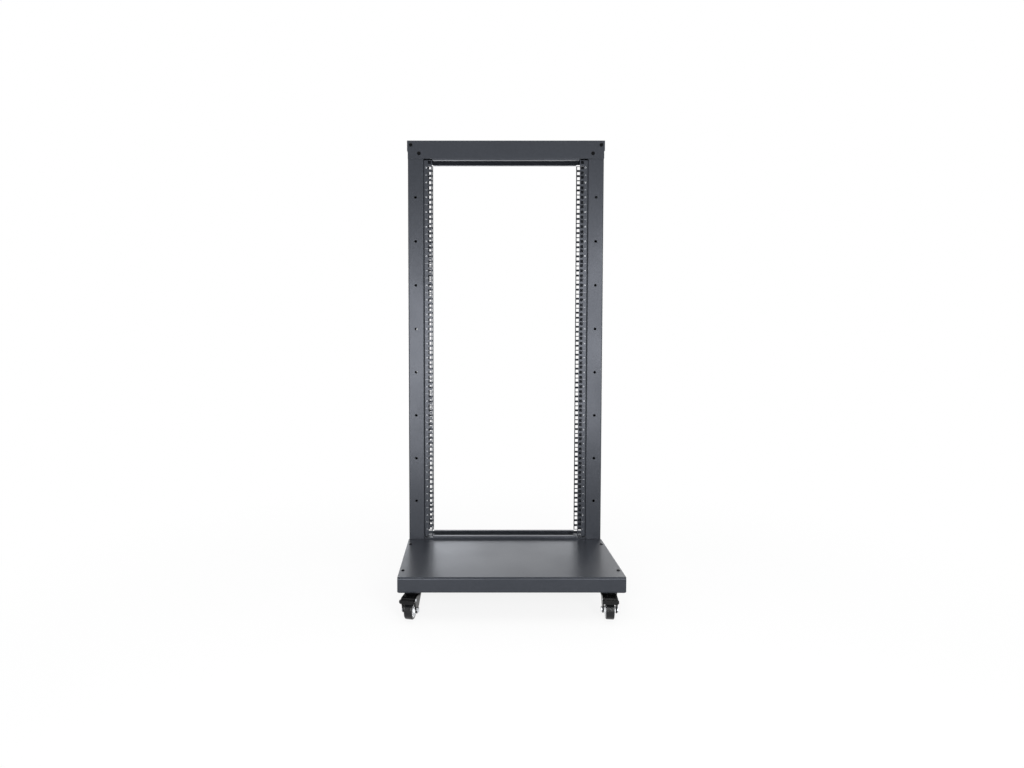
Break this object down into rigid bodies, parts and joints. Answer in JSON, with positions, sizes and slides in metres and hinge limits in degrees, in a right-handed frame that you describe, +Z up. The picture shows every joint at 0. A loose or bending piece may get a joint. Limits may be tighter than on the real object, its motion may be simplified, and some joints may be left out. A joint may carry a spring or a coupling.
{
  "type": "open-frame equipment rack on casters",
  "caption": "Two-post open-frame rack for nineteen-inch equipment: square-holed rails between posts and a cap beam, at the rear of a flat covered base on swivel casters.",
  "frame": {"origin": "on the floor below the middle of the base", "axes": "+Z up, -Y the front with the open base, +X to the right seen from the front"},
  "size_m": [0.6, 0.4259, 1.3425],
  "materials": {
    "graphite_powder_coat": "fine-textured satin powder coat",
    "black_caster_steel": "semi-gloss black",
    "zinc_plate": "bright zinc",
    "black_tread": "smooth",
    "pale_hub": "moulded",
    "black_pedal": "moulded"
  },
  "bodies": {
    "rack": {"left_post": "graphite_powder_coat", "right_post": "graphite_powder_coat", "left_rail": "graphite_powder_coat", "right_rail": "graphite_powder_coat", "top_beam": "graphite_powder_coat", "sill_beam": "graphite_powder_coat", "base_left_channel": "graphite_powder_coat", "base_right_channel": "graphite_powder_coat", "base_front_channel": "graphite_powder_coat", "base_rear_channel": "graphite_powder_coat", "base_cover": "graphite_powder_coat", "front_left_caster_stem": "black_caster_steel", "front_right_caster_stem": "black_caster_steel", "rear_left_caster_stem": "black_caster_steel", "rear_right_caster_stem": "black_caster_steel"},
    "front_left_swivel": {"front_left_caster_fork": "black_caster_steel", "front_left_caster_axle": "zinc_plate"},
    "front_left_wheel": {"front_left_caster_tyre": "black_tread", "front_left_caster_hub": "pale_hub"},
    "front_left_brake": {"front_left_brake_pedal": "black_pedal"},
    "front_right_swivel": {"front_right_caster_fork": "black_caster_steel", "front_right_caster_axle": "zinc_plate"},
    "front_right_wheel": {"front_right_caster_tyre": "black_tread", "front_right_caster_hub": "pale_hub"},
    "front_right_brake": {"front_right_brake_pedal": "black_pedal"},
    "rear_left_swivel": {"rear_left_caster_fork": "black_caster_steel", "rear_left_caster_axle": "zinc_plate"},
    "rear_left_wheel": {"rear_left_caster_tyre": "black_tread", "rear_left_caster_hub": "pale_hub"},
    "rear_right_swivel": {"rear_right_caster_fork": "black_caster_steel", "rear_right_caster_axle": "zinc_plate"},
    "rear_right_wheel": {"rear_right_caster_tyre": "black_tread", "rear_right_caster_hub": "pale_hub"}
  },
  "joints": [
    {"name": "front_left_swivel_turn", "type": "hinge", "parent": "rack", "child": "front_left_swivel", "pos_m": [-0.263, -0.16, 0.065], "axis": [0, 0, 1], "continuous": true},
    {"name": "front_left_wheel_spin", "type": "hinge", "parent": "front_left_swivel", "child": "front_left_wheel", "pos_m": [-0.26757, -0.18152, 0.025], "axis": [0.9781, -0.2079, 0], "continuous": true},
    {"name": "front_left_brake_press", "type": "hinge", "parent": "front_left_swivel", "child": "front_left_brake", "pos_m": [-0.27052, -0.19539, 0.057], "axis": [0.9781, -0.2079, 0], "range_deg": [0, 20]},
    {"name": "front_right_swivel_turn", "type": "hinge", "parent": "rack", "child": "front_right_swivel", "pos_m": [0.263, -0.16, 0.065], "axis": [0, 0, 1], "continuous": true},
    {"name": "front_right_wheel_spin", "type": "hinge", "parent": "front_right_swivel", "child": "front_right_wheel", "pos_m": [0.2607, -0.18188, 0.025], "axis": [0.9945, -0.1045, 0], "continuous": true},
    {"name": "front_right_brake_press", "type": "hinge", "parent": "front_right_swivel", "child": "front_right_brake", "pos_m": [0.25922, -0.19598, 0.057], "axis": [0.9945, -0.1045, 0], "range_deg": [0, 20]},
    {"name": "rear_left_swivel_turn", "type": "hinge", "parent": "rack", "child": "rear_left_swivel", "pos_m": [-0.263, 0.16, 0.065], "axis": [0, 0, 1], "continuous": true},
    {"name": "rear_left_wheel_spin", "type": "hinge", "parent": "rear_left_swivel", "child": "rear_left_wheel", "pos_m": [-0.263, 0.182, 0.025], "axis": [-1, 0, 0], "continuous": true},
    {"name": "rear_right_swivel_turn", "type": "hinge", "parent": "rack", "child": "rear_right_swivel", "pos_m": [0.263, 0.16, 0.065], "axis": [0, 0, 1], "continuous": true},
    {"name": "rear_right_wheel_spin", "type": "hinge", "parent": "rear_right_swivel", "child": "rear_right_wheel", "pos_m": [0.263, 0.182, 0.025], "axis": [-1, 0, 0], "continuous": true}
  ]
}
